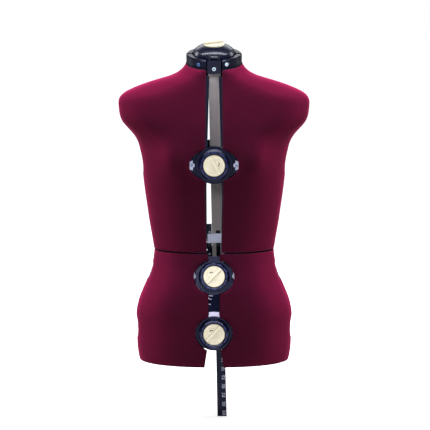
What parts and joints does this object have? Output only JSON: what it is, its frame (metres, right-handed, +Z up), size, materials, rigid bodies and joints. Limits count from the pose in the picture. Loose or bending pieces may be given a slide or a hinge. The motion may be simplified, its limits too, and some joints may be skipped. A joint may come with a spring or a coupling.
{
  "type": "adjustable dress form",
  "caption": "Fabric-covered torso form in quadrant shells that geared dials spread at bust, waist and hips, on a sliding channel and a scaled pole.",
  "frame": {"origin": "the middle of the pole's lower end face", "axes": "+Z up, -Y the front of the torso, +X the right-hand side seen from the front"},
  "size_m": [0.4157, 0.267, 0.8331],
  "materials": {
    "cover_fabric": "matte knit over foam",
    "shell_plastic": "satin moulded",
    "slide_plastic": "satin moulded",
    "black_plastic": "glossy moulded",
    "cream_plastic": "semi-gloss moulded",
    "grey_plastic": "satin moulded",
    "channel_steel": "brushed along its length",
    "rivet_steel": "plated",
    "pole_paint": "gloss black",
    "scale_print": "printed marks"
  },
  "bodies": {
    "pole": {"pole": "pole_paint", "pole_plug": "black_plastic", "pole_scale": "scale_print"},
    "torso_frame": {"channel": "channel_steel", "neck_core": "black_plastic", "neck_cap": "black_plastic", "front_tab": "black_plastic", "tab_rivet": "rivet_steel"},
    "lower_frame": {"length_clip": "grey_plastic", "length_bracket": "black_plastic"},
    "neck_dial": {"neck_dial": "cream_plastic"},
    "upper_front": {"bust_front_seat": "black_plastic"},
    "upper_right": {"bust_right_seat": "black_plastic"},
    "upper_back": {"bust_back_seat": "black_plastic"},
    "upper_left": {"bust_left_seat": "black_plastic"},
    "bodice_front_right": {"bodice_front_right_shell": "shell_plastic", "bodice_front_right_cover": "cover_fabric", "bodice_front_right_slides": "slide_plastic", "collar_front_right": "black_plastic"},
    "bodice_front_left": {"bodice_front_left_shell": "shell_plastic", "bodice_front_left_cover": "cover_fabric", "bodice_front_left_slides": "slide_plastic", "collar_front_left": "black_plastic"},
    "bodice_back_right": {"bodice_back_right_shell": "shell_plastic", "bodice_back_right_cover": "cover_fabric", "bodice_back_right_slides": "slide_plastic", "collar_back_right": "black_plastic"},
    "bodice_back_left": {"bodice_back_left_shell": "shell_plastic", "bodice_back_left_cover": "cover_fabric", "bodice_back_left_slides": "slide_plastic", "collar_back_left": "black_plastic"},
    "bust_front_dial": {"bust_front_dial": "cream_plastic"},
    "bust_right_dial": {"bust_right_dial": "cream_plastic"},
    "bust_back_dial": {"bust_back_dial": "cream_plastic"},
    "bust_left_dial": {"bust_left_dial": "cream_plastic"},
    "lower_front": {"lower_front_carrier": "black_plastic"},
    "lower_right": {"lower_right_carrier": "black_plastic"},
    "lower_back": {"lower_back_carrier": "black_plastic"},
    "lower_left": {"lower_left_carrier": "black_plastic"},
    "hip_front_right": {"hip_front_right_shell": "shell_plastic", "hip_front_right_cover": "cover_fabric", "hip_front_right_slides": "slide_plastic"},
    "hip_front_left": {"hip_front_left_shell": "shell_plastic", "hip_front_left_cover": "cover_fabric", "hip_front_left_slides": "slide_plastic"},
    "hip_back_right": {"hip_back_right_shell": "shell_plastic", "hip_back_right_cover": "cover_fabric", "hip_back_right_slides": "slide_plastic"},
    "hip_back_left": {"hip_back_left_shell": "shell_plastic", "hip_back_left_cover": "cover_fabric", "hip_back_left_slides": "slide_plastic"},
    "waist_front_dial": {"waist_front_dial": "cream_plastic"},
    "waist_right_dial": {"waist_right_dial": "cream_plastic"},
    "waist_back_dial": {"waist_back_dial": "cream_plastic"},
    "waist_left_dial": {"waist_left_dial": "cream_plastic"},
    "hip_front_dial": {"hip_front_dial": "cream_plastic"},
    "hip_right_dial": {"hip_right_dial": "cream_plastic"},
    "hip_back_dial": {"hip_back_dial": "cream_plastic"},
    "hip_left_dial": {"hip_left_dial": "cream_plastic"}
  },
  "joints": [
    {"name": "height", "type": "slide", "parent": "pole", "child": "torso_frame", "axis": [-0.022, 0, 0.9998], "range_m": [-0.1, 0.12]},
    {"name": "back_length", "type": "slide", "parent": "torso_frame", "child": "lower_frame", "axis": [0.022, 0, -0.9998], "range_m": [0, 0.04]},
    {"name": "upper_width", "type": "slide", "parent": "torso_frame", "child": "upper_right", "axis": [1, 0, 0], "range_m": [0, 0.022]},
    {"name": "upper_width_left", "type": "slide", "parent": "torso_frame", "child": "upper_left", "axis": [-1, 0, 0], "range_m": [0, 0.022]},
    {"name": "upper_depth", "type": "slide", "parent": "upper_right", "child": "bodice_front_right", "axis": [0, -1, 0], "range_m": [0, 0.022]},
    {"name": "upper_depth_front_left", "type": "slide", "parent": "upper_left", "child": "bodice_front_left", "axis": [0, -1, 0], "range_m": [0, 0.022]},
    {"name": "upper_depth_back_right", "type": "slide", "parent": "upper_right", "child": "bodice_back_right", "axis": [0, 1, 0], "range_m": [0, 0.022]},
    {"name": "upper_depth_back_left", "type": "slide", "parent": "upper_left", "child": "bodice_back_left", "axis": [0, 1, 0], "range_m": [0, 0.022]},
    {"name": "upper_depth_front_seats", "type": "slide", "parent": "torso_frame", "child": "upper_front", "axis": [0, -1, 0], "range_m": [0, 0.022]},
    {"name": "upper_depth_back_seats", "type": "slide", "parent": "torso_frame", "child": "upper_back", "axis": [0, 1, 0], "range_m": [0, 0.022]},
    {"name": "bust_front_dial_turn", "type": "hinge", "parent": "upper_front", "child": "bust_front_dial", "pos_m": [-0.01771, -0.11733, 0.57], "axis": [0, -0.9992, -0.0402], "range_deg": [0, 158]},
    {"name": "bust_right_dial_turn", "type": "hinge", "parent": "upper_right", "child": "bust_right_dial", "pos_m": [0.14031, 0, 0.57], "axis": [0.9932, 0, -0.1166], "range_deg": [0, 158]},
    {"name": "bust_back_dial_turn", "type": "hinge", "parent": "upper_back", "child": "bust_back_dial", "pos_m": [-0.01771, 0.10791, 0.57], "axis": [0, 0.9998, -0.022], "range_deg": [0, 158]},
    {"name": "bust_left_dial_turn", "type": "hinge", "parent": "upper_left", "child": "bust_left_dial", "pos_m": [-0.17572, 0, 0.57], "axis": [-0.9932, 0, -0.1166], "range_deg": [0, 158]},
    {"name": "lower_width", "type": "slide", "parent": "lower_frame", "child": "lower_right", "axis": [1, 0, 0], "range_m": [0, 0.022]},
    {"name": "lower_width_left", "type": "slide", "parent": "lower_frame", "child": "lower_left", "axis": [-1, 0, 0], "range_m": [0, 0.022]},
    {"name": "lower_depth", "type": "slide", "parent": "lower_right", "child": "hip_front_right", "axis": [0, -1, 0], "range_m": [0, 0.022]},
    {"name": "lower_depth_front_left", "type": "slide", "parent": "lower_left", "child": "hip_front_left", "axis": [0, -1, 0], "range_m": [0, 0.022]},
    {"name": "lower_depth_back_right", "type": "slide", "parent": "lower_right", "child": "hip_back_right", "axis": [0, 1, 0], "range_m": [0, 0.022]},
    {"name": "lower_depth_back_left", "type": "slide", "parent": "lower_left", "child": "hip_back_left", "axis": [0, 1, 0], "range_m": [0, 0.022]},
    {"name": "lower_depth_front_seats", "type": "slide", "parent": "lower_frame", "child": "lower_front", "axis": [0, -1, 0], "range_m": [0, 0.022]},
    {"name": "lower_depth_back_seats", "type": "slide", "parent": "lower_frame", "child": "lower_back", "axis": [0, 1, 0], "range_m": [0, 0.022]},
    {"name": "waist_front_dial_turn", "type": "hinge", "parent": "lower_front", "child": "waist_front_dial", "pos_m": [-0.01771, -0.10371, 0.329], "axis": [0, -0.9523, 0.3051], "range_deg": [0, 158]},
    {"name": "waist_right_dial_turn", "type": "hinge", "parent": "lower_right", "child": "waist_right_dial", "pos_m": [0.12433, 0, 0.329], "axis": [0.9499, 0, 0.3124], "range_deg": [0, 158]},
    {"name": "waist_back_dial_turn", "type": "hinge", "parent": "lower_back", "child": "waist_back_dial", "pos_m": [-0.01771, 0.10653, 0.329], "axis": [0, 0.947, 0.3212], "range_deg": [0, 158]},
    {"name": "waist_left_dial_turn", "type": "hinge", "parent": "lower_left", "child": "waist_left_dial", "pos_m": [-0.15974, 0, 0.329], "axis": [-0.9499, 0, 0.3124], "range_deg": [0, 158]},
    {"name": "hip_front_dial_turn", "type": "hinge", "parent": "lower_front", "child": "hip_front_dial", "pos_m": [-0.01771, -0.11907, 0.207], "axis": [0, -0.9997, -0.0227], "range_deg": [0, 158]},
    {"name": "hip_right_dial_turn", "type": "hinge", "parent": "lower_right", "child": "hip_right_dial", "pos_m": [0.1534, 0, 0.207], "axis": [0.9998, 0, -0.0216], "range_deg": [0, 158]},
    {"name": "hip_back_dial_turn", "type": "hinge", "parent": "lower_back", "child": "hip_back_dial", "pos_m": [-0.01771, 0.1318, 0.207], "axis": [0, 0.9982, -0.0606], "range_deg": [0, 158]},
    {"name": "hip_left_dial_turn", "type": "hinge", "parent": "lower_left", "child": "hip_left_dial", "pos_m": [-0.18881, 0, 0.207], "axis": [-0.9998, 0, -0.0216], "range_deg": [0, 158]},
    {"name": "neck_dial_turn", "type": "hinge", "parent": "torso_frame", "child": "neck_dial", "pos_m": [-0.01771, -0.00895, 0.8219], "axis": [0, -0.2419, 0.9703], "range_deg": [0, 158]}
  ],
  "couplings": [
    {"joint": "upper_width_left", "follows": "upper_width", "ratio": 1},
    {"joint": "upper_depth_front_left", "follows": "upper_depth", "ratio": 1},
    {"joint": "upper_depth_back_right", "follows": "upper_depth", "ratio": 1},
    {"joint": "upper_depth_back_left", "follows": "upper_depth", "ratio": 1},
    {"joint": "upper_depth_front_seats", "follows": "upper_depth", "ratio": 1},
    {"joint": "upper_depth_back_seats", "follows": "upper_depth", "ratio": 1},
    {"joint": "bust_front_dial_turn", "follows": "upper_width", "rad_per_m": 125},
    {"joint": "bust_right_dial_turn", "follows": "upper_depth", "rad_per_m": 125},
    {"joint": "bust_back_dial_turn", "follows": "upper_width", "rad_per_m": 125},
    {"joint": "bust_left_dial_turn", "follows": "upper_depth", "rad_per_m": 125},
    {"joint": "lower_width_left", "follows": "lower_width", "ratio": 1},
    {"joint": "lower_depth_front_left", "follows": "lower_depth", "ratio": 1},
    {"joint": "lower_depth_back_right", "follows": "lower_depth", "ratio": 1},
    {"joint": "lower_depth_back_left", "follows": "lower_depth", "ratio": 1},
    {"joint": "lower_depth_front_seats", "follows": "lower_depth", "ratio": 1},
    {"joint": "lower_depth_back_seats", "follows": "lower_depth", "ratio": 1},
    {"joint": "waist_front_dial_turn", "follows": "lower_width", "rad_per_m": 125},
    {"joint": "waist_right_dial_turn", "follows": "lower_depth", "rad_per_m": 125},
    {"joint": "waist_back_dial_turn", "follows": "lower_width", "rad_per_m": 125},
    {"joint": "waist_left_dial_turn", "follows": "lower_depth", "rad_per_m": 125},
    {"joint": "hip_front_dial_turn", "follows": "lower_width", "rad_per_m": 125},
    {"joint": "hip_right_dial_turn", "follows": "lower_depth", "rad_per_m": 125},
    {"joint": "hip_back_dial_turn", "follows": "lower_width", "rad_per_m": 125},
    {"joint": "hip_left_dial_turn", "follows": "lower_depth", "rad_per_m": 125},
    {"joint": "neck_dial_turn", "follows": "upper_width", "rad_per_m": 125}
  ]
}
